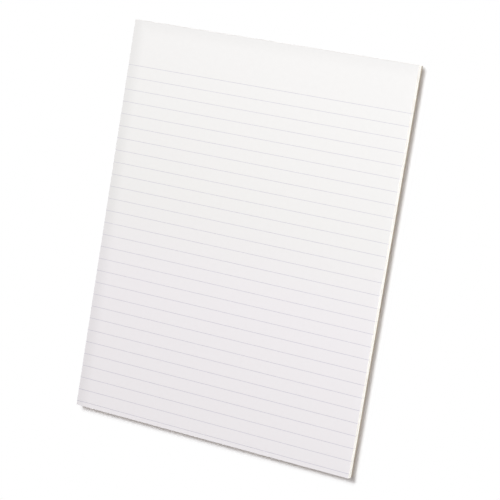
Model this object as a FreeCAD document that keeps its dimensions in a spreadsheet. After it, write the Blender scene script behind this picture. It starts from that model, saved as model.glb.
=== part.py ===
import FreeCAD, Part
import os
import Sketcher

# A glue-top writing pad: ruled letter sheets on a chipboard back, gummed together at the head.
# It lies on its back as it does on a desk. +Z comes up out of the page, +Y points to the gummed head
# and +X to the right of the page. The origin is on the desk, under the middle of the pad.
# All lengths are in millimetres.

SIZES = (
    ("sheet_width", 215.9, "A sheet from side to side, 8 1/2 in"),
    ("sheet_length", 279.4, "A sheet from head to foot, 11 in"),
    ("sheet_count", 50, "Sheets in the pad"),
    ("sheet_caliper", 0.1, "Thickness of a sheet of writing paper"),
    ("gap_height", 0.025, "Air between the cut edges of two sheets"),
    ("gap_depth", 0.2, "How far that air reaches in from a cut edge"),
    ("glue_wick", 1, "How far the glue runs in between the sheets at the head"),
    ("head_margin", 31.75, "From the head to the middle of the first rule, 1 1/4 in"),
    ("rule_pitch", 8.73125, "From a rule to the next, 11/32 in"),
    ("foot_margin_least", 2, "The last rule stays this far from the foot"),
    ("rule_width", 0.25, "Breadth of a printed rule"),
    ("ink_depth", 0.01, "How deep the ink of a rule sits in the paper"),
    ("board_thickness", 2.03, "Thickness of the chipboard, 80 points"),
    ("board_round", 0.2, "Rounding that handling leaves on the board's lower edges"),
    ("film_thickness", 0.35, "Thickness of the glue film over the head"),
    ("film_lip", 0.15, "Thickness that is left of it at its two long edges"),
    ("film_taper", 0.6, "Height over which it thins out to each long edge"),
    ("cutter_overrun", 2, "How far a cutting outline runs out past the paper"),
)

# What the driving sizes give together, as expressions on the spreadsheet's cells.
STACK_HEIGHT = "(Sizes.sheet_count * Sizes.sheet_caliper)"
TOP = f"(Sizes.board_thickness + {STACK_HEIGHT})"
SIDE = "(Sizes.sheet_width / 2)"
FOOT = "(-(Sizes.sheet_length + Sizes.film_thickness) / 2)"
HEAD = f"({FOOT} + Sizes.sheet_length)"
FIRST_RULE = f"({HEAD} - Sizes.head_margin)"
RULED_LENGTH = "(Sizes.sheet_length - Sizes.head_margin - Sizes.foot_margin_least)"
RULE_COUNT = f"floor({RULED_LENGTH} / Sizes.rule_pitch) + 1"


def add_sizes(doc):
    """Put each driving size in a cell of its own, between its name and what it means."""
    sheet = doc.addObject("Spreadsheet::Sheet", "Sizes")
    for row, (name, value, meaning) in enumerate(SIZES, start=1):
        sheet.set(f"A{row}", name)
        sheet.set(f"B{row}", str(value))
        sheet.set(f"C{row}", meaning)
        sheet.setAlias(f"B{row}", name)
    doc.recompute()


def add_body(doc, label):
    """Add an empty body for one piece of the pad."""
    body = doc.addObject("PartDesign::Body", label)
    body.Label = label
    return body


def origin_feature(body, role):
    """Return the body's own origin plane or axis of that role."""
    return next(feature for feature in body.Origin.OriginFeatures if feature.Role == role)


def add_sketch(body, name, plane, height="0"):
    """Add a sketch to a body, on its own origin plane raised by the height."""
    sketch = body.newObject("Sketcher::SketchObject", name)
    sketch.AttachmentSupport = [(origin_feature(body, plane), "")]
    sketch.MapMode = "FlatFace"
    sketch.setExpression("AttachmentOffset.Base.z", height)
    return sketch


def bind(sketch, name, constraint, expression):
    """Add a constraint whose size follows an expression."""
    number = sketch.addConstraint(constraint)
    sketch.renameConstraint(number, name)
    sketch.setExpression(f"Constraints.{name}", expression)


def draw_outline(sketch, corners):
    """Draw a closed outline of straight lines, each corner pinned by its two distances from the origin."""
    points = [FreeCAD.Vector(sketch.evalExpression(across), sketch.evalExpression(along), 0)
              for across, along in corners]
    following = points[1:] + points[:1]
    for start, end in zip(points, following):
        sketch.addGeometry(Part.LineSegment(start, end))
    for line, (point, (across, along)) in enumerate(zip(points, corners)):
        sketch.addConstraint(Sketcher.Constraint("Coincident", line, 1, (line - 1) % len(points), 2))
        bind(sketch, f"across_{line}", Sketcher.Constraint("DistanceX", -1, 1, line, 1, point.x), across)
        bind(sketch, f"along_{line}", Sketcher.Constraint("DistanceY", -1, 1, line, 1, point.y), along)


def box_corners(side, low, high):
    """Return the corners of a rectangle that spans both sides of the pad's middle line."""
    return [(f"-{side}", low), (side, low), (side, high), (f"-{side}", high)]


def add_pad(body, name, sketch, length):
    """Raise a sketch into a solid of that length."""
    pad = body.newObject("PartDesign::Pad", name)
    pad.Profile = sketch
    pad.setExpression("Length", length)
    return pad


def add_pocket(body, name, sketch, depth):
    """Cut a sketch downward into what the body has so far."""
    pocket = body.newObject("PartDesign::Pocket", name)
    pocket.Profile = sketch
    pocket.setExpression("Length", depth)
    return pocket


def add_row(body, name, feature, axis, backward, pitch, count):
    """Repeat a feature along an axis of the body, at a pitch."""
    row = body.newObject("PartDesign::LinearPattern", name)
    row.Originals = [feature]
    row.Direction = (origin_feature(body, axis), [""])
    row.Reversed = backward
    row.Mode = "Spacing"
    row.setExpression("Offset", pitch)
    row.setExpression("Occurrences", count)
    body.Tip = row
    return row


def ruled_sheets(doc):
    """The sheets as one block: its open sides show each cut edge, its top face is let in for the ink."""
    body = add_body(doc, "ruled_sheets")
    outline = add_sketch(body, "SheetOutline", "XY_Plane", "Sizes.board_thickness")
    draw_outline(outline, box_corners(SIDE, FOOT, HEAD))
    block = add_pad(body, "SheetBlock", outline, STACK_HEIGHT)

    # The air between two sheets runs round the two sides and the foot and stops short of the head,
    # where the glue has wicked in.
    outer_side = f"({SIDE} + Sizes.cutter_overrun)"
    outer_foot = f"({FOOT} - Sizes.cutter_overrun)"
    inner_side = f"({SIDE} - Sizes.gap_depth)"
    inner_foot = f"({FOOT} + Sizes.gap_depth)"
    gap_end = f"({HEAD} - Sizes.glue_wick)"
    first_gap_top = "Sizes.board_thickness + Sizes.sheet_caliper + Sizes.gap_height / 2"
    around = add_sketch(body, "SheetGapOutline", "XY_Plane", first_gap_top)
    draw_outline(around, [
        (f"-{outer_side}", outer_foot), (outer_side, outer_foot),
        (outer_side, gap_end), (inner_side, gap_end),
        (inner_side, inner_foot), (f"-{inner_side}", inner_foot),
        (f"-{inner_side}", gap_end), (f"-{outer_side}", gap_end),
    ])
    gap = add_pocket(body, "SheetGap", around, "Sizes.gap_height")
    gaps = add_row(body, "SheetGaps", gap, "Z_Axis", False, "Sizes.sheet_caliper", "Sizes.sheet_count - 1")

    slot_outline = add_sketch(body, "RuleSlotOutline", "XY_Plane", TOP)
    draw_outline(slot_outline, rule_corners(outer_side))
    slot = add_pocket(body, "RuleSlot", slot_outline, "Sizes.ink_depth")
    slots = add_row(body, "RuleSlots", slot, "Y_Axis", True, "Sizes.rule_pitch", RULE_COUNT)
    return body, [(block, gap), (gap, gaps), (gaps, slot), (slot, slots)]


def rule_corners(side):
    """Return the corners of the first rule, out to the given side."""
    half = "Sizes.rule_width / 2"
    return box_corners(side, f"{FIRST_RULE} - {half}", f"{FIRST_RULE} + {half}")


def rule_lines(doc):
    """The printed rules of the top sheet, each a strip of ink that fills its slot flush with the paper."""
    body = add_body(doc, "rule_lines")
    body.AllowCompound = True
    outline = add_sketch(body, "RuleOutline", "XY_Plane", f"{TOP} - Sizes.ink_depth")
    draw_outline(outline, rule_corners(SIDE))
    rule = add_pad(body, "Rule", outline, "Sizes.ink_depth")
    add_row(body, "Rules", rule, "Y_Axis", True, "Sizes.rule_pitch", RULE_COUNT)
    return body, []


def backing_board(doc):
    """The chipboard back, cut flush with the sheets, its lower edges rounded on the three open sides."""
    body = add_body(doc, "backing_board")
    outline = add_sketch(body, "BoardOutline", "XY_Plane")
    draw_outline(outline, box_corners(SIDE, FOOT, HEAD))
    board = add_pad(body, "Board", outline, "Sizes.board_thickness")
    doc.recompute()
    rounding = body.newObject("PartDesign::Fillet", "BoardRounding")
    rounding.Base = (board, lower_open_edges(board.Shape))
    rounding.setExpression("Radius", "Sizes.board_round")
    return body, [(board, rounding)]


def lower_open_edges(shape):
    """Name the board's edges that lie on the desk, apart from the one under the glue at the head."""
    box = shape.BoundBox
    reach = 1e-6
    names = []
    for number, edge in enumerate(shape.Edges, start=1):
        middle = edge.CenterOfMass
        if abs(middle.z - box.ZMin) < reach and abs(middle.y - box.YMax) > reach:
            names.append(f"Edge{number}")
    return names


def padding_glue(doc):
    """The film of padding glue over the head of the sheets and the board, thin where it was wiped off."""
    body = add_body(doc, "padding_glue")
    section = add_sketch(body, "FilmSection", "YZ_Plane")
    face = f"({HEAD} + Sizes.film_thickness)"
    lip = f"({HEAD} + Sizes.film_lip)"
    draw_outline(section, [
        (HEAD, "0"), (lip, "0"), (face, "Sizes.film_taper"),
        (face, f"{TOP} - Sizes.film_taper"), (lip, TOP), (HEAD, TOP),
    ])
    film = add_pad(body, "Film", section, "Sizes.sheet_width")
    film.SideType = "Symmetric"
    return body, []


def check(doc, bodies, cuts):
    """Stop if a feature failed, a cut took nothing away or a piece isn't a sound solid."""
    for item in doc.Objects:
        if "Invalid" in item.State or "Error" in item.State:
            raise RuntimeError(f"{item.Name} failed: {item.State}")
    for before, after in cuts:
        if after.Shape.Volume >= before.Shape.Volume:
            raise RuntimeError(f"{after.Name} cuts nothing")
    for body in bodies:
        if body.Shape.isNull() or not body.Shape.isValid() or not body.Shape.Solids:
            raise RuntimeError(f"{body.Label} isn't a sound solid")
        print(f"{body.Label}: {len(body.Shape.Solids)} solid(s), {body.Shape.Volume:.1f} mm3")


doc = FreeCAD.newDocument("legal_pad")
add_sizes(doc)
bodies = []
cuts = []
for build in (ruled_sheets, rule_lines, backing_board, padding_glue):
    body, body_cuts = build(doc)
    bodies.append(body)
    cuts.extend(body_cuts)
doc.recompute()
check(doc, bodies, cuts)

os.makedirs("parts", exist_ok=True)
for body in bodies:
    body.Shape.exportStep(f"parts/{body.Label}.step")
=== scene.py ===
# %% [markdown]
# A glue-top writing pad lies on a white desk: fifty ruled sheets on a chipboard back, held together at
# the head by a film of glue. There is little colour in it, so the work goes into what the light finds:
# the paper that falls away a little at its cut edges, the layers of the cut itself, the pale ink, and
# the soft shadow at two of its sides.
# The first cell loads the solid model, which gives every size and place. It is never changed here.

# %% Load the frame
import math

import bpy
from mathutils import Matrix, Vector, noise


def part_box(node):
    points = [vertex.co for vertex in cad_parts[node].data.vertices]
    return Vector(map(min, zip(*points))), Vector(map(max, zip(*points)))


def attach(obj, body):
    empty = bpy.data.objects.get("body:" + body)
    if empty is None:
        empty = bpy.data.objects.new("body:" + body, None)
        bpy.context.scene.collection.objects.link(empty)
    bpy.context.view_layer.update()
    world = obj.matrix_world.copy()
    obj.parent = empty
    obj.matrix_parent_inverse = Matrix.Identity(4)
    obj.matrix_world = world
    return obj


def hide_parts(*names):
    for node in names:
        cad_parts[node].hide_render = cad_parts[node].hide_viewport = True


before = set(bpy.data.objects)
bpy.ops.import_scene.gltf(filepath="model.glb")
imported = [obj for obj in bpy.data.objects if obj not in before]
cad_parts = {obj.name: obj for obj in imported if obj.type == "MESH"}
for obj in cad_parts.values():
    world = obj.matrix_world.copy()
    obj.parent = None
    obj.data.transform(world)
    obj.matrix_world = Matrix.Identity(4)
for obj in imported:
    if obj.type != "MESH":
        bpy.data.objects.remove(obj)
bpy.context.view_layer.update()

MM = 0.001

# %% [markdown]
# The pieces below have to sit where the solids are, so their sizes are read from the boxes of the nodes.
# Only what a box can't tell is written as a number: how many sheets there are, and how far apart the
# printed rules lie.

# %% Sizes of the pad
sheets_low, sheets_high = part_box("ruled_sheets")
rules_low, rules_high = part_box("rule_lines")
board_low, board_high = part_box("backing_board")
glue_low, glue_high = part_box("padding_glue")

SHEET_COUNT = 50
RULE_PITCH = 8.73125 * MM
RULE_WIDTH = 0.25 * MM

half_width = sheets_high.x
foot = sheets_low.y
head = sheets_high.y
sheet_width = sheets_high.x - sheets_low.x
sheet_length = head - foot
stack_bottom = sheets_low.z
stack_top = sheets_high.z
caliper = (stack_top - stack_bottom) / SHEET_COUNT
first_rule = rules_high.y - RULE_WIDTH / 2
rule_count = round((rules_high.y - rules_low.y - RULE_WIDTH) / RULE_PITCH) + 1
print("caliper in mm", round(caliper / MM, 4), "rules", rule_count)

# %% [markdown]
# Node trees get long when each node and link takes a line of its own. Two small classes let them be
# written as sums instead: a wire is one output of a node, and adding or multiplying wires adds the Math
# nodes that do it. Any other node comes from one method, which sets the node's settings first and its
# sockets after them. The same classes serve for materials and for geometry.


# %% Wires and trees
class Wire:
    """One output of a node. Python's sums on wires become Math nodes."""

    def __init__(self, tree, socket):
        self.tree = tree
        self.socket = socket

    def output(self, name):
        """Return another output of the same node."""
        return Wire(self.tree, self.socket.node.outputs[name])

    def __add__(self, other):
        return self.tree.math("ADD", self, other)

    def __radd__(self, other):
        return self.tree.math("ADD", other, self)

    def __sub__(self, other):
        return self.tree.math("SUBTRACT", self, other)

    def __rsub__(self, other):
        return self.tree.math("SUBTRACT", other, self)

    def __mul__(self, other):
        return self.tree.math("MULTIPLY", self, other)

    def __rmul__(self, other):
        return self.tree.math("MULTIPLY", other, self)

    def __truediv__(self, other):
        return self.tree.math("DIVIDE", self, other)

    def __pow__(self, other):
        return self.tree.math("POWER", self, other)


class Tree:
    """A node tree that is being wired."""

    def __init__(self, tree):
        self.tree = tree

    def node(self, kind, settings=None, inputs=None, output=0):
        """Add a node, set its settings, then the values or wires of its sockets, and return an output."""
        made = self.tree.nodes.new(kind)
        for name, value in (settings or {}).items():
            setattr(made, name, value)
        for name, value in (inputs or {}).items():
            if isinstance(value, Wire):
                self.tree.links.new(value.socket, made.inputs[name])
            else:
                made.inputs[name].default_value = value
        return Wire(self, made.outputs[output])

    def math(self, operation, *values):
        """Add a Math node."""
        return self.node("ShaderNodeMath", {"operation": operation}, dict(enumerate(values)))

    def clamp(self, value):
        """Hold a number between 0 and 1."""
        return self.node("ShaderNodeClamp", inputs={"Value": value})

    def ramp(self, value, low, high):
        """Run smoothly from 0 to 1 while a value goes from low to high."""
        return self.node("ShaderNodeMapRange", {"interpolation_type": "SMOOTHSTEP"},
                         {"Value": value, "From Min": low, "From Max": high})

    def mix(self, share, first, second):
        """Mix two colours."""
        return self.node("ShaderNodeMix", {"data_type": "RGBA"}, {0: share, 6: first, 7: second}, output=2)

    def shade(self, colour, light):
        """Multiply a colour by a number."""
        return self.node("ShaderNodeVectorMath", {"operation": "SCALE"}, {0: colour, "Scale": light})

    def noise(self, vector, size, detail=2.0, roughness=0.5):
        """Add cloudy noise, whose lumps are about as large as the given size."""
        return self.node("ShaderNodeTexNoise", inputs={
            "Vector": vector, "Scale": 1 / size, "Detail": detail, "Roughness": roughness})

    def stretched(self, vector, x, y, z):
        """Multiply a vector's three parts, which squeezes a pattern along that axis."""
        return self.node("ShaderNodeVectorMath", {"operation": "MULTIPLY"}, {0: vector, 1: (x, y, z)})

    def parts(self, vector):
        """Return a vector's three parts."""
        split = self.node("ShaderNodeSeparateXYZ", inputs={0: vector})
        return split.output("X"), split.output("Y"), split.output("Z")


# %% [markdown]
# Every finish starts the same way: a Principled shader, and the object's own coordinates in metres, which
# stay put on the piece whatever the camera does. A finish is a function that receives the tree and those
# coordinates and gives back what varies over the surface. What is the same all over is set on the
# shader's own sockets.


# %% Materials in general
def make_material(name, finish, constants):
    """Make a material: a function wires what varies, and constants go straight on the shader."""
    material = bpy.data.materials.new(name)
    material.use_nodes = True
    tree = Tree(material.node_tree)
    shader = material.node_tree.nodes["Principled BSDF"]
    coordinates = tree.node("ShaderNodeTexCoord", output="Object")
    for socket, value in constants.items():
        shader.inputs[socket].default_value = value
    for socket, wire in finish(tree, coordinates).items():
        tree.tree.links.new(wire.socket, shader.inputs[socket])
    print("material", name, "of", len(material.node_tree.nodes), "nodes")
    return material


def bump(tree, height, distance):
    """Turn a height from 0 to 1 into a normal, the distance being its full height in metres."""
    return tree.node("ShaderNodeBump", inputs={"Height": height, "Distance": distance})


# %% [markdown]
# Writing paper is white with a trace of warmth. Towards the foot of this sheet a lilac tint of the light
# falling there is painted into its colour. Held to the light it is cloudy, because the fibres settle in
# flocks of a few millimetres, and that cloudiness shows faintly in its tone. Nearer, it is a felt of fibres
# that lie mostly along the sheet. Both are noise, the second one squeezed so that its grains run along the
# sheet. The printed rules bleed a little into the felt on each side, so the ink's colour is mixed in near
# each rule: the distance to the nearest rule is the remainder of the place along the page. Along the left
# edge and the head the paper is painted a little darker: painted shade.

# %% Paper
PAPER = (0.872, 0.872, 0.858, 1)
# Painted light: a lilac tint of the light towards the foot, painted into the paper's colour.
PAINTED_LILAC_LIGHT = (0.880, 0.864, 0.878, 1)
PAINTED_LILAC_FROM = 30 * MM
PAINTED_LILAC_TO = -50 * MM
SHADE = 0.968
# Painted shade: the paper's colour is darkened along its left edge and its head.
PAINTED_SHADE_REACH = 11 * MM
LEFT_PAINTED_SHADE = 0.09
HEAD_PAINTED_SHADE = 0.035
INK = (0.53, 0.52, 0.605, 1)
FLOCK_SIZE = 3.5 * MM
FIBRE_SIZE = 0.35 * MM
FIBRE_STRETCH = 0.3
FELT_DEPTH = 0.012 * MM
INK_BLEED = 0.3 * MM
INK_BLEED_SHARE = 0.3


def distance_to_rule(tree, along):
    """Return how far a place lies from the nearest rule, where there are rules."""
    from_first = first_rule - along
    across = tree.math("PINGPONG", from_first, RULE_PITCH / 2)
    above = tree.math("GREATER_THAN", along, first_rule + RULE_PITCH / 2)
    return across + above


def paper_face(tree, place):
    """Wire the face of a ruled sheet."""
    flocks = tree.noise(place, FLOCK_SIZE, detail=3)
    fibres = tree.noise(tree.stretched(place, 1, FIBRE_STRETCH, 1), FIBRE_SIZE, detail=4, roughness=0.65)
    tone = tree.clamp(flocks * 0.9 + fibres * 0.5 - 0.35)
    x, y, _ = tree.parts(place)
    # painted lilac tint of the light towards the foot
    painted_lilac = 1 - tree.ramp(y, PAINTED_LILAC_TO, PAINTED_LILAC_FROM)
    tinted = tree.mix(painted_lilac, PAPER, PAINTED_LILAC_LIGHT)
    # painted shade along the left edge and the head
    left = (1 - tree.ramp(x + half_width, 0, PAINTED_SHADE_REACH)) * LEFT_PAINTED_SHADE
    top = (1 - tree.ramp(head - y, 0, PAINTED_SHADE_REACH)) * HEAD_PAINTED_SHADE
    paper = tree.shade(tinted, SHADE + (1 - SHADE) * tone - tree.math("MAXIMUM", left, top))
    bleed = (1 - tree.ramp(distance_to_rule(tree, y), 0, INK_BLEED)) * INK_BLEED_SHARE
    return {
        "Base Color": tree.mix(bleed * (0.6 + 0.8 * fibres), paper, INK),
        "Roughness": 0.56 + 0.16 * fibres,
        "Normal": bump(tree, fibres * 0.7 + flocks * 0.3, FELT_DEPTH),
    }


paper_face_material = make_material("paper_face", paper_face, {"Specular IOR Level": 0.35})

# %% [markdown]
# The cut edge of the stack is creamier than the face, because the light goes into the open ends of the
# fibres. The knife leaves it a little furry, and no two sheets take the cut alike, so a noise that is
# squeezed hard along the height gives each sheet a tone of its own. Where a rule runs off the sheet, its
# ink shows as a small tick on the edge, and the ticks of the sheets don't quite line up.

# %% Cut edges of the paper
EDGE = (0.925, 0.905, 0.86, 1)
EDGE_SHADE = (0.84, 0.815, 0.765, 1)
EDGE_SQUEEZE = 0.02
EDGE_FUR = 0.25 * MM
FUR_DEPTH = 0.02 * MM
TICK_WIDTH = 0.3 * MM
TICK_SCATTER = 0.5 * MM
TICK_SHARE = 0.3


def paper_edge(tree, place):
    """Wire the cut edges of the stacked sheets."""
    sheet = tree.noise(tree.stretched(place, EDGE_SQUEEZE, EDGE_SQUEEZE, 1), caliper, detail=0)
    fur = tree.noise(place, EDGE_FUR, detail=4, roughness=0.7)
    tone = tree.clamp(sheet * 1.1 + fur * 0.6 - 0.4)
    _, y, _ = tree.parts(place)
    shifted = y + (sheet - 0.5) * TICK_SCATTER
    tick = (1 - tree.ramp(distance_to_rule(tree, shifted), 0, TICK_WIDTH)) * TICK_SHARE
    return {
        "Base Color": tree.mix(tick, tree.mix(tone, EDGE_SHADE, EDGE), INK),
        "Roughness": 0.75 + 0.15 * fur,
        "Normal": bump(tree, fur, FUR_DEPTH),
    }


paper_edge_material = make_material("paper_edge", paper_edge, {"Specular IOR Level": 0.25})

# %% [markdown]
# The rules are printed in a thin, pale, violet blue. On the press the ink lies unevenly on the felt, so
# along a rule it is a little denser here and paler there, and it was laid on more heavily towards the foot.

# %% Ink
INK_PALE = (0.625, 0.615, 0.675, 1)
INK_GRAIN = 0.5 * MM
INK_GRAIN_DEPTH = 0.004 * MM
INK_WAVE = 18 * MM
INK_GAIN = 0.7


def ruled_ink(tree, place):
    """Wire the printed ink."""
    grain = tree.noise(place, INK_GRAIN, detail=3, roughness=0.6)
    long_waves = tree.noise(place, INK_WAVE, detail=1)
    _, y, _ = tree.parts(place)
    lower = 1 - tree.ramp(y, foot, first_rule)
    density = tree.clamp(grain * 0.9 + long_waves * 0.6 - 0.2 + (lower - 0.5) * INK_GAIN)
    return {
        "Base Color": tree.mix(density, INK_PALE, INK),
        "Roughness": 0.5 + 0.2 * grain,
        "Normal": bump(tree, grain, INK_GRAIN_DEPTH),
    }


ink_material = make_material("ruled_ink", ruled_ink, {"Specular IOR Level": 0.4})

# %% [markdown]
# Chipboard is pulped waste paper: a grey brown felt, with paler and darker fibres and now and then a
# fleck of print. Its cut edge shows the layers that the board was built up from. Each of these is a noise
# of its own size that mixes one more colour in, and the flecks are the peaks of a fine noise that is cut
# off high.

# %% Chipboard
BOARD = (0.345, 0.295, 0.232, 1)
BOARD_DARK = (0.235, 0.195, 0.15, 1)
BOARD_PALE = (0.50, 0.455, 0.385, 1)
BOARD_INK = (0.10, 0.095, 0.10, 1)
CLOUD_SIZE = 14 * MM
BOARD_FELT = 0.9 * MM
STRAND_SIZE = 0.6 * MM
PLY_HEIGHT = 0.12 * MM
FLECK_SIZE = 1.1 * MM
BOARD_DEPTH = 0.03 * MM


def chipboard(tree, place):
    """Wire the chipboard back."""
    clouds = tree.noise(place, CLOUD_SIZE, detail=3)
    felt = tree.noise(tree.stretched(place, 1, 0.35, 1), BOARD_FELT, detail=5, roughness=0.7)
    long_fibres = tree.noise(tree.stretched(place, 1, 0.12, 1), STRAND_SIZE, detail=2)
    layers = tree.noise(tree.stretched(place, 0.03, 0.03, 1), PLY_HEIGHT, detail=1)
    flecks = tree.noise(place, FLECK_SIZE, detail=1)
    base = tree.mix(tree.ramp(clouds + felt * 0.8, 0.55, 1.25), BOARD_DARK, BOARD)
    pale = tree.mix(tree.ramp(long_fibres, 0.58, 0.76) * 0.6, base, BOARD_PALE)
    layered = tree.mix(tree.ramp(layers, 0.45, 0.7) * 0.25, pale, BOARD_PALE)
    return {
        "Base Color": tree.mix(tree.ramp(flecks, 0.76, 0.82) * 0.7, layered, BOARD_INK),
        "Roughness": 0.68 + 0.2 * felt,
        "Normal": bump(tree, felt * 0.7 + long_fibres * 0.3, BOARD_DEPTH),
    }


chipboard_material = make_material("grey_chipboard", chipboard, {"Specular IOR Level": 0.3})

# %% [markdown]
# Padding glue is brushed on white and dries to a rubbery, off-white skin with a soft shine. It is so thin
# that the sheets under it show as fine lines, and the brush leaves streaks along the head.

# %% Glue
GLUE = (0.94, 0.932, 0.905, 1)
GLUE_THIN = (0.86, 0.845, 0.80, 1)
BRISTLE_SIZE = 0.5 * MM
PIT_SIZE = 0.7 * MM
GLUE_DEPTH = 0.05 * MM


def dried_glue(tree, place):
    """Wire the glue film."""
    streaks = tree.noise(tree.stretched(place, 0.06, 1, 1), BRISTLE_SIZE, detail=3, roughness=0.6)
    sheets_under = tree.noise(tree.stretched(place, 0.01, 0.2, 1), caliper * 1.5, detail=1)
    pits = tree.noise(place, PIT_SIZE, detail=2)
    cover = tree.clamp(streaks * 1.1 + pits * 0.3 - sheets_under * 0.35 + 0.05)
    return {
        "Base Color": tree.mix(cover, GLUE_THIN, GLUE),
        "Roughness": 0.3 + 0.25 * pits,
        "Normal": bump(tree, streaks * 0.7 + sheets_under * 0.3, GLUE_DEPTH),
    }


glue_material = make_material("dried_glue", dried_glue, {"Specular IOR Level": 0.5})

# %% [markdown]
# The sheets, the stack under them and the printed rules are shapes that follow a rule, so Geometry Nodes
# make them. These helpers start a tree with named inputs, close it, and turn its result into a plain mesh.
# An input's kind of socket follows from the value that it starts with. A primitive brings an empty
# material slot along, which is dropped.

# %% Geometry trees
SOCKET_KINDS = (
    (int, "NodeSocketInt"),
    (float, "NodeSocketFloat"),
    (bpy.types.Material, "NodeSocketMaterial"),
    (type(None), "NodeSocketGeometry"),
)


def geometry_tree(name, inputs):
    """Start a geometry tree, and return it with a wire from each named input."""
    group = bpy.data.node_groups.new(name, "GeometryNodeTree")
    group.interface.new_socket("Geometry", in_out="OUTPUT", socket_type="NodeSocketGeometry")
    for label, value in inputs.items():
        kind = next(socket for python, socket in SOCKET_KINDS if isinstance(value, python))
        socket = group.interface.new_socket(label, in_out="INPUT", socket_type=kind)
        if value is not None:
            socket.default_value = value
    tree = Tree(group)
    source = group.nodes.new("NodeGroupInput")
    return tree, {label: Wire(tree, source.outputs[label]) for label in inputs}


def end_tree(tree, geometry, material):
    """Finish a tree with real geometry and its material."""
    real = tree.node("GeometryNodeRealizeInstances", inputs={0: geometry})
    return tree.node("GeometryNodeSetMaterial", inputs={"Geometry": real, "Material": material})


def close_tree(tree, geometry):
    """Lead geometry to the tree's output."""
    end = tree.tree.nodes.new("NodeGroupOutput")
    tree.tree.links.new(geometry.socket, end.inputs[0])


def grow(name, tree, values):
    """Run a tree with these inputs and return a new object that holds the plain mesh."""
    piece = bpy.data.objects.new(name, bpy.data.meshes.new(name))
    bpy.context.scene.collection.objects.link(piece)
    modifier = piece.modifiers.new("Grow", "NODES")
    modifier.node_group = tree.tree
    for item in tree.tree.interface.items_tree:
        if item.in_out == "INPUT" and item.name in values:
            modifier[item.identifier] = values[item.name]
    evaluated = piece.evaluated_get(bpy.context.evaluated_depsgraph_get())
    mesh = bpy.data.meshes.new_from_object(evaluated)
    if mesh.materials[0] is None:
        mesh.materials.pop(index=0)
    piece.modifiers.remove(modifier)
    piece.data = mesh
    mesh.name = name
    print(name, len(mesh.vertices), "points", len(mesh.polygons), "faces")
    return piece


# %% [markdown]
# A pad isn't a perfect block. Its left edge curls up a little, the glue between the sheets swells the
# head, the two edges that the knife leaves last roll down, and between them the paper cockles by less
# than a tenth of a millimetre. The light shows all of it as soft changes of tone.
# One small tree holds this lie of the paper. It lowers each point by the drop at its place, in full at
# the top of the stack and not at all at the board, so that sheets, stack and ink all follow one surface.

# %% The lie of the paper
PAGE_DROP = 0.20 * MM
CURL_REACH = 7.0 * MM
SWELL = 0.7
ROLL_DROP = 0.10 * MM
ROLL_REACH = 4.0 * MM
COCKLE = 0.05 * MM
COCKLE_SIZE = 45 * MM


def lie_of_paper():
    """Build the tree that bends flat paper to the way it lies."""
    tree, given = geometry_tree("lie_of_paper", {
        "Geometry": None, "Page Drop": PAGE_DROP, "Curl Reach": CURL_REACH, "Swell": SWELL,
        "Roll Drop": ROLL_DROP, "Roll Reach": ROLL_REACH, "Cockle": COCKLE,
    })
    place = tree.node("GeometryNodeInputPosition")
    x, y, z = tree.parts(place)

    def rolled(distance, reach):
        """Return 1 at the edge, falling to 0 at the reach in a smooth curve."""
        return (1 - tree.clamp(distance / reach)) ** 2

    curled = rolled(x + half_width, given["Curl Reach"])
    swollen = rolled(head - y, given["Curl Reach"]) * given["Swell"]
    raised = tree.math("MAXIMUM", curled, swollen)
    rolled_side = rolled(half_width - x, given["Roll Reach"])
    rolled_foot = rolled(y - foot, given["Roll Reach"])
    lowered = tree.math("MAXIMUM", rolled_side, rolled_foot)
    cockles = tree.noise(tree.stretched(place, 1, 1, 0), COCKLE_SIZE, detail=1)
    flat_part = (given["Page Drop"] + cockles * given["Cockle"]) * (1 - raised)
    drop = flat_part + lowered * given["Roll Drop"]
    height = (z - stack_bottom) / (stack_top - stack_bottom)
    offset = tree.node("ShaderNodeCombineXYZ", inputs={"Z": 0 - drop * height})
    bent = tree.node("GeometryNodeSetPosition", inputs={"Geometry": given["Geometry"], "Offset": offset})
    close_tree(tree, bent)
    return tree


paper_lie = lie_of_paper()
print("the page lies", round(PAGE_DROP / MM, 2), "mm below its raised left edge")

# %% [markdown]
# Under the top sheet lie forty-nine more. Each is a real sheet with a fine outline, set down on a line of
# points one caliper apart and shifted by a few hundredths of a millimetre, because a stack is jogged by
# hand before it is cut and glued. After that the cut edge is made uneven by a noise that differs from
# sheet to sheet. All of it is one tree: outline, sheet, instances, cut and lie.
# Nobody sees the middle of these sheets, so each has only one ring of points a little way in from its
# edge. Without that ring its face would run straight from edge to edge and come out above the page.

# %% The stack of sheets
AIR_GAP = 0.010 * MM
SHEET_SCATTER = 0.03 * MM
CUT_ROUGHNESS = 0.02 * MM
CUT_WAVE = 2.5 * MM
CUT_CHANGE = 30
INK_LIFT = 0.02 * MM
SIDE_CUTS = 99
RING_SHARE = 0.95
MERGE_REACH = 0.001 * MM
STACK_SEED = 7


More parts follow.
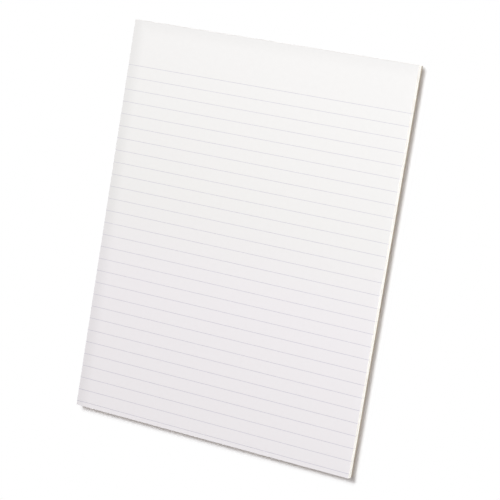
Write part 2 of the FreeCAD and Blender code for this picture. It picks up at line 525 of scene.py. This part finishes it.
def add_sheet(tree, width, length, thickness, cuts):
    """Add nodes for one sheet as a closed slab, its outline cut into short edges."""
    outline = tree.node("GeometryNodeCurvePrimitiveQuadrilateral", {"mode": "RECTANGLE"},
                        {"Width": width, "Height": length})
    fine = tree.node("GeometryNodeSubdivideCurve", inputs={"Curve": outline, "Cuts": cuts})
    face = tree.node("GeometryNodeFillCurve", {"mode": "NGONS"}, {"Curve": fine})
    inner = tree.node("GeometryNodeExtrudeMesh", {"mode": "FACES"}, {"Mesh": face, "Offset Scale": 0.0})
    bottom = tree.node("GeometryNodeScaleElements", {"domain": "FACE"}, {
        "Geometry": inner, "Selection": inner.output("Top"), "Scale": RING_SHARE})
    raised = tree.node("GeometryNodeExtrudeMesh", {"mode": "FACES"},
                       {"Mesh": bottom, "Offset": (0, 0, 1), "Offset Scale": thickness, "Individual": False})
    turned = tree.node("GeometryNodeFlipFaces", inputs={"Mesh": bottom})
    both = tree.node("GeometryNodeJoinGeometry", inputs={0: raised})
    tree.tree.links.new(turned.socket, both.socket.node.inputs[0])
    return tree.node("GeometryNodeMergeByDistance", inputs={"Geometry": both, "Distance": MERGE_REACH})


def roughen_cut(tree, geometry, amount):
    """Add nodes that shift each point of the cut a little, differently on each sheet."""
    place = tree.node("GeometryNodeInputPosition")
    differing = tree.stretched(place, 1, 1, CUT_CHANGE)
    ragged = tree.node("ShaderNodeTexNoise", inputs={
        "Vector": differing, "Scale": 1 / CUT_WAVE, "Detail": 2.0}, output="Color")
    shift_x, shift_y, _ = tree.parts(ragged)
    offset = tree.node("ShaderNodeCombineXYZ", inputs={
        "X": (shift_x - 0.5) * 2 * amount, "Y": (shift_y - 0.5) * 2 * amount})
    return tree.node("GeometryNodeSetPosition", inputs={"Geometry": geometry, "Offset": offset})


def stack_tree():
    """Build the tree of the sheets under the top one."""
    tree, given = geometry_tree("sheet_stack", {
        "Sheets": SHEET_COUNT - 1, "Caliper": caliper, "Air Gap": AIR_GAP,
        "Width": sheet_width, "Length": sheet_length,
        "Scatter": SHEET_SCATTER, "Roughness": CUT_ROUGHNESS, "Cuts": 1, "Seed": STACK_SEED,
        "Material": paper_edge_material,
    })
    room = (given["Scatter"] + given["Roughness"]) * 2
    sheet = add_sheet(tree, given["Width"] - room, given["Length"] - room,
                      given["Caliper"] - given["Air Gap"], given["Cuts"])
    first = tree.node("ShaderNodeCombineXYZ", inputs={"Y": (head + foot) / 2, "Z": stack_bottom})
    step = tree.node("ShaderNodeCombineXYZ", inputs={"Z": given["Caliper"]})
    line = tree.node("GeometryNodeMeshLine", inputs={
        "Count": given["Sheets"], "Start Location": first, "Offset": step})
    laid = tree.node("GeometryNodeInstanceOnPoints", inputs={"Points": line, "Instance": sheet})
    least = tree.node("ShaderNodeCombineXYZ", inputs={
        "X": 0 - given["Scatter"], "Y": 0 - given["Scatter"], "Z": 0})
    most = tree.node("ShaderNodeCombineXYZ", inputs={
        "X": given["Scatter"], "Y": given["Scatter"], "Z": given["Air Gap"] / 2})
    shift = tree.node("FunctionNodeRandomValue", {"data_type": "FLOAT_VECTOR"},
                      {0: least, 1: most, "Seed": given["Seed"]})
    jogged = tree.node("GeometryNodeTranslateInstances", inputs={"Instances": laid, "Translation": shift})
    real = tree.node("GeometryNodeRealizeInstances", inputs={0: jogged})
    cut = roughen_cut(tree, real, given["Roughness"])
    bent = tree.node("GeometryNodeGroup", {"node_tree": paper_lie.tree}, {"Geometry": cut})
    close_tree(tree, end_tree(tree, bent, given["Material"]))
    return tree


sheet_stack = grow("sheet_stack", stack_tree(), {"Cuts": SIDE_CUTS})

# %% [markdown]
# The top sheet is the one that everybody sees, so it is a slab with a fine grid on its face, which can
# follow the lie of the paper closely. Its face takes the paper's finish and its sides that of the cut
# edge: the tree tells them apart by the direction in which each face points. The face is shaded smooth,
# with a crease kept where it turns into the cut.

# %% The top sheet
GRID_STEP = 1.9 * MM
CREASE = math.radians(40)


def top_sheet_tree():
    """Build the tree of the top sheet."""
    tree, given = geometry_tree("top_sheet", {
        "Width": sheet_width, "Length": sheet_length, "Thickness": caliper - INK_LIFT - AIR_GAP / 2,
        "Step": GRID_STEP, "Roughness": CUT_ROUGHNESS,
        "Face": paper_face_material, "Edge": paper_edge_material,
    })
    room = given["Roughness"] * 2
    width = given["Width"] - room
    length = given["Length"] - room
    size = tree.node("ShaderNodeCombineXYZ", inputs={"X": width, "Y": length, "Z": given["Thickness"]})
    slab = tree.node("GeometryNodeMeshCube", inputs={
        "Size": size, "Vertices X": width / given["Step"], "Vertices Y": length / given["Step"],
        "Vertices Z": 2})
    middle = tree.node("ShaderNodeCombineXYZ", inputs={
        "Y": (head + foot) / 2, "Z": stack_top - INK_LIFT - given["Thickness"] / 2})
    placed = tree.node("GeometryNodeTransform", inputs={"Geometry": slab, "Translation": middle})
    cut = roughen_cut(tree, placed, given["Roughness"])
    bent = tree.node("GeometryNodeGroup", {"node_tree": paper_lie.tree}, {"Geometry": cut})
    angle = tree.node("GeometryNodeInputMeshEdgeAngle")
    flat_enough = tree.node("FunctionNodeCompare", {"operation": "LESS_THAN"}, {0: angle, 1: CREASE})
    soft = tree.node("GeometryNodeSetShadeSmooth", {"domain": "EDGE"},
                     {"Geometry": bent, "Shade Smooth": flat_enough})
    smooth = tree.node("GeometryNodeSetShadeSmooth", {"domain": "FACE"}, {"Geometry": soft})
    edged = end_tree(tree, smooth, given["Edge"])
    _, _, normal_z = tree.parts(tree.node("GeometryNodeInputNormal"))
    looks_up = tree.node("FunctionNodeCompare", {"operation": "GREATER_THAN"}, {0: normal_z, 1: 0.5})
    close_tree(tree, tree.node("GeometryNodeSetMaterial", inputs={
        "Geometry": edged, "Selection": looks_up, "Material": given["Face"]}))
    return tree


top_sheet = grow("top_sheet", top_sheet_tree(), {})

# %% [markdown]
# A rule is a strip of ink as wide as the sheet. The tree makes one strip with many short faces along it,
# sets it down once for each rule on a line of points, and then bends the strips with the same lie as the
# paper, so that they stay on its surface where it falls away at the edges. They stand a hair above the
# paper, because ink that lay in the same plane would flicker with it.

# %% The printed rules
INK_THICKNESS = 0.03 * MM
RULE_UNEVENNESS = 0.008 * MM
WAVER_LENGTH = 3 * MM


def rules_tree():
    """Build the tree of the printed rules."""
    tree, given = geometry_tree("printed_rules", {
        "Rules": 1, "Pitch": RULE_PITCH, "Rule Width": RULE_WIDTH, "Width": sheet_width,
        "Thickness": INK_THICKNESS, "Step": GRID_STEP, "Unevenness": RULE_UNEVENNESS,
        "Material": ink_material,
    })
    length = given["Width"] - 2 * CUT_ROUGHNESS
    size = tree.node("ShaderNodeCombineXYZ", inputs={
        "X": length, "Y": given["Rule Width"], "Z": given["Thickness"]})
    strip = tree.node("GeometryNodeMeshCube", inputs={
        "Size": size, "Vertices X": length / given["Step"], "Vertices Y": 2, "Vertices Z": 2})
    first = tree.node("ShaderNodeCombineXYZ", inputs={
        "Y": first_rule, "Z": stack_top - given["Thickness"] / 2})
    step = tree.node("ShaderNodeCombineXYZ", inputs={"Y": 0 - given["Pitch"]})
    line = tree.node("GeometryNodeMeshLine", inputs={
        "Count": given["Rules"], "Start Location": first, "Offset": step})
    laid = tree.node("GeometryNodeInstanceOnPoints", inputs={"Points": line, "Instance": strip})
    real = tree.node("GeometryNodeRealizeInstances", inputs={0: laid})
    place = tree.node("GeometryNodeInputPosition")
    waver = tree.noise(place, WAVER_LENGTH, detail=2)
    offset = tree.node("ShaderNodeCombineXYZ", inputs={"Y": (waver - 0.5) * 2 * given["Unevenness"]})
    printed = tree.node("GeometryNodeSetPosition", inputs={"Geometry": real, "Offset": offset})
    bent = tree.node("GeometryNodeGroup", {"node_tree": paper_lie.tree}, {"Geometry": printed})
    close_tree(tree, end_tree(tree, bent, given["Material"]))
    return tree


printed_rules = grow("printed_rules", rules_tree(), {"Rules": rule_count})

# %% [markdown]
# The board and the glue are single pieces with a section of their own, so they are meshes made from rings
# of points. A ring is one cut through the piece: level for the board, upright for the glue. Rings are
# joined by walls, and the first and last are closed by a face, which gives a closed shell. Its faces point
# outwards if each ring runs anticlockwise as seen from beyond the last one.


# %% Shells from rings
def shell(name, rings, material):
    """Join rings of equally many points into a closed shell."""
    count = len(rings[0])
    points = [point for ring in rings for point in ring]
    faces = [list(reversed(range(count)))]
    for ring in range(len(rings) - 1):
        base = ring * count
        for step in range(count):
            after = (step + 1) % count
            faces.append([base + step, base + after, base + count + after, base + count + step])
    last = (len(rings) - 1) * count
    faces.append(list(range(last, last + count)))
    mesh = bpy.data.meshes.new(name)
    mesh.from_pydata(points, [], faces)
    mesh.materials.append(material)
    mesh.validate()
    piece = bpy.data.objects.new(name, mesh)
    bpy.context.scene.collection.objects.link(piece)
    print(name, len(points), "points", len(faces), "faces")
    return piece


def walk(corners, step):
    """Return points along a closed outline, about a step apart, with the corners among them."""
    points = []
    for start, end in zip(corners, corners[1:] + corners[:1]):
        count = max(1, round((end - start).length / step))
        points.extend(start.lerp(end, place / count) for place in range(count))
    return points


# %% [markdown]
# The board is cut with the sheets, by the same stroke of the knife. Its lower edge is rounded by handling
# and its cut is coarse, because the felt tears rather than shears. Each ring is the same outline drawn
# in by its own amount, and a noise moves the points of the cut in by a few hundredths of a millimetre.

# %% The board
BOARD_STEP = 1.2 * MM
BOARD_CUT = 0.05 * MM
TEAR_SIZE = 2 * MM
TEAR_CHANGE = 6
BOARD_ROUND = 0.14 * MM
BOARD_ROUND_STEPS = 4
BOARD_SHOULDER = 0.05 * MM


def board_ring(inset, height):
    """Return the board's outline at a height, drawn in by an inset and by the unevenness of the cut."""
    corners = [
        Vector((board_low.x, board_low.y, height)), Vector((board_high.x, board_low.y, height)),
        Vector((board_high.x, board_high.y, height)), Vector((board_low.x, board_high.y, height)),
    ]
    middle = (board_low + board_high) / 2
    ring = []
    for point in walk(corners, BOARD_STEP):
        torn_at = Vector((point.x, point.y, point.z * TEAR_CHANGE)) / TEAR_SIZE
        ragged = (noise.fractal(torn_at, 0.7, 2.0, 3) + 1) / 2
        drawn_in = inset + BOARD_CUT * min(max(ragged, 0), 1)
        scale_x = 1 - drawn_in / (board_high.x - middle.x)
        scale_y = 1 - drawn_in / (board_high.y - middle.y)
        x = (point.x - middle.x) * scale_x + middle.x
        y = (point.y - middle.y) * scale_y + middle.y
        ring.append((x, y, height))
    return ring


def board_section():
    """Return the insets and heights of the board's rings, from its underside to its upper face."""
    section = []
    for step in range(BOARD_ROUND_STEPS + 1):
        turn = math.radians(90) * step / BOARD_ROUND_STEPS
        section.append((BOARD_ROUND * (1 - math.sin(turn)), BOARD_ROUND * (1 - math.cos(turn))))
    section.append((0.0, board_high.z / 2))
    section.append((0.0, board_high.z - BOARD_SHOULDER))
    section.append((BOARD_SHOULDER, board_high.z))
    return section


chipboard_back = shell("chipboard_back", [board_ring(inset, height) for inset, height in board_section()],
                       chipboard_material)

# %% [markdown]
# The glue is brushed over the head of the clamped stack. The film is thickest along its middle, thin
# where it was wiped off at its two long edges, and never quite even: brush streaks run along the head,
# and here and there a drop has dried. Its rings are sections across the film, one after another along the
# head, and a noise that is stretched along the head gives each section its own thickness.

# %% The glue
GLUE_STEP = 1.0 * MM
GLUE_LEVELS = 16
GLUE_LIP = 0.12 * MM
GLUE_MEAN = 0.70
GLUE_LEAST = 0.25
GLUE_EASE = 0.1 * MM
WIPE_LENGTH = 9 * MM
STREAK_LENGTH = 14 * MM
STREAK_HEIGHT = 0.9 * MM
DROP_LENGTH = 6 * MM
DROP_HEIGHT = 3 * MM
WIPE_SEED = 4.0
STREAK_SEED = 2.0
DROP_SEED = 9.0


def glue_section(x):
    """Return one section across the film, up its face from lip to lip and back down along the sheets."""
    full = glue_high.y - head
    height = glue_high.z - glue_low.z
    wiped = GLUE_EASE * noise.noise(Vector((x / WIPE_LENGTH, WIPE_SEED, 0.0)))
    section = []
    for level in range(GLUE_LEVELS + 1):
        share = level / GLUE_LEVELS
        z = glue_low.z + height * share
        streak = noise.fractal(Vector((x / STREAK_LENGTH, z / STREAK_HEIGHT, STREAK_SEED)), 0.8, 2.0, 3)
        drop = noise.noise(Vector((x / DROP_LENGTH, z / DROP_HEIGHT, DROP_SEED)))
        fullness = min(max(GLUE_MEAN + 0.2 * streak + 0.25 * drop, GLUE_LEAST), 1)
        belly = max(math.sin(math.pi * share), 0) ** 0.4
        thickness = GLUE_LIP * fullness + (full - GLUE_LIP) * fullness * belly
        if level == GLUE_LEVELS:
            z -= (GLUE_EASE + wiped) / 2
        section.append((x, head + thickness, z))
    section.append((x, head, glue_high.z - GLUE_EASE))
    section.append((x, head, glue_low.z))
    return section


def glue_rings():
    """Return the sections from one side of the head to the other."""
    count = round(sheet_width / GLUE_STEP)
    return [glue_section(glue_low.x + sheet_width * step / count) for step in range(count + 1)]


glue_film = shell("glue_film", glue_rings(), glue_material)
for polygon in glue_film.data.polygons:
    polygon.use_smooth = True
glue_film.data.set_sharp_from_angle(angle=CREASE)

# %% [markdown]
# Each piece is tied to the frame. It moves with the one body and stands for the solid of the same part,
# which is hidden.

# %% Tie the pieces to the frame
for piece, node, slot in (
    (top_sheet, "ruled_sheets", "paper"),
    (sheet_stack, "ruled_sheets", "paper"),
    (printed_rules, "rule_lines", "ink"),
    (chipboard_back, "backing_board", "chipboard"),
    (glue_film, "padding_glue", "glue"),
):
    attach(piece, "root")
    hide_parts(node)
    print(piece.name, "stands for", node)

# %% [markdown]
# The pad lies on a white sweep. Where its shadow falls the floor is an ordinary white surface, and around
# that the camera finds plain white. A shadow has about the outline of the pad, moved along by the slant of
# the light. So the shader measures how far a place lies outside that outline, and passes into plain white
# over a few millimetres. Its distances across and along the page are added up, so that the plain white is
# painted over the far corner of the shadow first and rounds it off. Light that bounces off the floor always
# finds the ordinary white surface.

# %% Floor
FLOOR_SIZE = 6.0
FLOOR_WHITE = (0.88, 0.88, 0.88, 1)
SHADOW_SHIFT = Vector((1.9, -3.0)) * MM
SHADOW_FADE = 3.6 * MM


def distance_to_shadow(tree, place):
    """Return how far a place on the floor lies outside the moved outline, across and along added up."""
    x, y, _ = tree.parts(place)
    across = tree.math("ABSOLUTE", x - SHADOW_SHIFT.x) - half_width
    along = tree.math("ABSOLUTE", y - (head + foot) / 2 - SHADOW_SHIFT.y) - sheet_length / 2
    return tree.math("MAXIMUM", across, 0) + tree.math("MAXIMUM", along, 0)


def make_floor():
    """Lay the floor under the pad."""
    half = FLOOR_SIZE / 2
    mesh = bpy.data.meshes.new("floor")
    corners = [(-half, -half, 0), (half, -half, 0), (half, half, 0), (-half, half, 0)]
    mesh.from_pydata(corners, [], [(0, 1, 2, 3)])
    floor = bpy.data.objects.new("floor", mesh)
    bpy.context.scene.collection.objects.link(floor)
    material = bpy.data.materials.new("white_sweep")
    material.use_nodes = True
    material.node_tree.nodes.clear()
    tree = Tree(material.node_tree)
    seen = tree.node("ShaderNodeLightPath", output="Is Camera Ray")
    place = tree.node("ShaderNodeTexCoord", output="Object")
    surface = tree.node("ShaderNodeBsdfDiffuse", inputs={"Color": FLOOR_WHITE})
    plain = tree.node("ShaderNodeEmission", inputs={"Strength": 1.0})
    # plain white painted over the outer edge and far corner of the shadow
    fade = tree.ramp(distance_to_shadow(tree, place), 0, SHADOW_FADE) * seen
    shown = tree.node("ShaderNodeMixShader", inputs={0: fade, 1: surface, 2: plain})
    end = tree.tree.nodes.new("ShaderNodeOutputMaterial")
    tree.tree.links.new(shown.socket, end.inputs["Surface"])
    mesh.materials.append(material)
    print("floor", FLOOR_SIZE, "m wide")


make_floor()

# %% [markdown]
# The light is that of a small studio. A large soft box stands high beyond the upper left of the page. It
# gives the shadow at the right and the foot, and it is aimed past the page, so that its light thins out
# towards the foot. Two low white cards, one at the right and one before the foot, throw light back at the
# cut edges and into the shadow, and the room fills in the rest with a trace of warmth. Their strengths are
# set so that a colour renders about as bright as it is written.

# %% Light
KEY_PLACE = Vector((-0.68, 0.93, 1.96))
KEY_AIM = Vector((0.42, 0.35, 0.0))
KEY_SIZE = 0.73
KEY_SPREAD = math.radians(100)
KEY_POWER = 15.15
KEY_COLOUR = (0.945, 0.97, 1.0)
CARD_PLACE = Vector((0.62, 0.0, 0.05))
CARD_SIZE = 0.09
CARD_LENGTH = 0.5
CARD_POWER = 2.65
CARD_COLOUR = (0.94, 0.975, 1.0)
FOOT_PLACE = Vector((-0.13, -0.57, 0.05))
FOOT_LENGTH = 0.4
FOOT_POWER = 1.15
FOOT_COLOUR = (0.89, 0.91, 1.0)
ROOM_LIGHT = (0.285, 0.25, 0.232, 1)


def soft_box(name, place, size, power, colour=(1, 1, 1), length=None, aim=Vector(), spread=math.pi):
    """Hang a soft box, a square one unless it has a length, that points at the pad unless it has an aim."""
    light = bpy.data.lights.new(name, "AREA")
    light.shape = "RECTANGLE"
    light.size = length or size
    light.size_y = size
    light.energy = power
    light.color = colour
    light.spread = spread
    lamp = bpy.data.objects.new(name, light)
    lamp.location = place
    lamp.rotation_euler = (aim - place).to_track_quat("-Z", "Y").to_euler()
    bpy.context.scene.collection.objects.link(lamp)
    print(name, power, "W,", round((aim - place).length, 2), "m away")


soft_box("key_light", KEY_PLACE, KEY_SIZE, KEY_POWER, KEY_COLOUR, aim=KEY_AIM, spread=KEY_SPREAD)
soft_box("side_card", CARD_PLACE, CARD_SIZE, CARD_POWER, CARD_COLOUR, length=CARD_LENGTH)
soft_box("foot_card", FOOT_PLACE, CARD_SIZE, FOOT_POWER, FOOT_COLOUR, length=FOOT_LENGTH)

world = bpy.data.worlds.new("room")
world.use_nodes = True
world.node_tree.nodes.clear()
bpy.context.scene.world = world
room = Tree(world.node_tree)
camera_ray = room.node("ShaderNodeLightPath", output="Is Camera Ray")
room_colour = room.mix(camera_ray, ROOM_LIGHT, (1, 1, 1, 1))
background = room.node("ShaderNodeBackground", inputs={"Color": room_colour})
room_out = room.tree.nodes.new("ShaderNodeOutputWorld")
room.tree.links.new(background.socket, room_out.inputs["Surface"])

# %% [markdown]
# The camera stands where the photograph was taken from: the four corners of the page and the spacing of
# its rules fix its place, its turn and its lens together. It looks down on the pad from the right, from a
# good metre away, through a long lens that hardly draws the page's edges together.

# %% Camera
page_middle = Vector((0, (head + foot) / 2, stack_top))
CAMERA_PLACE = page_middle + Vector((526.8, 137.8, 1099.5)) * MM
CAMERA_AHEAD = Vector((-0.4233, -0.1149, -0.8987)).normalized()
CAMERA_UP = Vector((-0.1940, 0.9804, -0.0340))
SENSOR_WIDTH = 36.0
LENS_PER_FRAME = 3.5694


def make_camera():
    """Set up the camera."""
    right = CAMERA_AHEAD.cross(CAMERA_UP).normalized()
    up = right.cross(CAMERA_AHEAD)
    turn = Matrix((right, up, -CAMERA_AHEAD)).transposed()
    lens = bpy.data.cameras.new("camera")
    lens.sensor_width = SENSOR_WIDTH
    lens.lens = SENSOR_WIDTH * LENS_PER_FRAME
    camera = bpy.data.objects.new("camera", lens)
    camera.matrix_world = Matrix.Translation(CAMERA_PLACE) @ turn.to_4x4()
    bpy.context.scene.collection.objects.link(camera)
    bpy.context.scene.camera = camera
    distance = (CAMERA_PLACE - page_middle).length
    print("camera", round(distance, 3), "m from the page, lens", round(lens.lens, 1), "mm")


make_camera()
bpy.context.scene.view_settings.view_transform = "Standard"
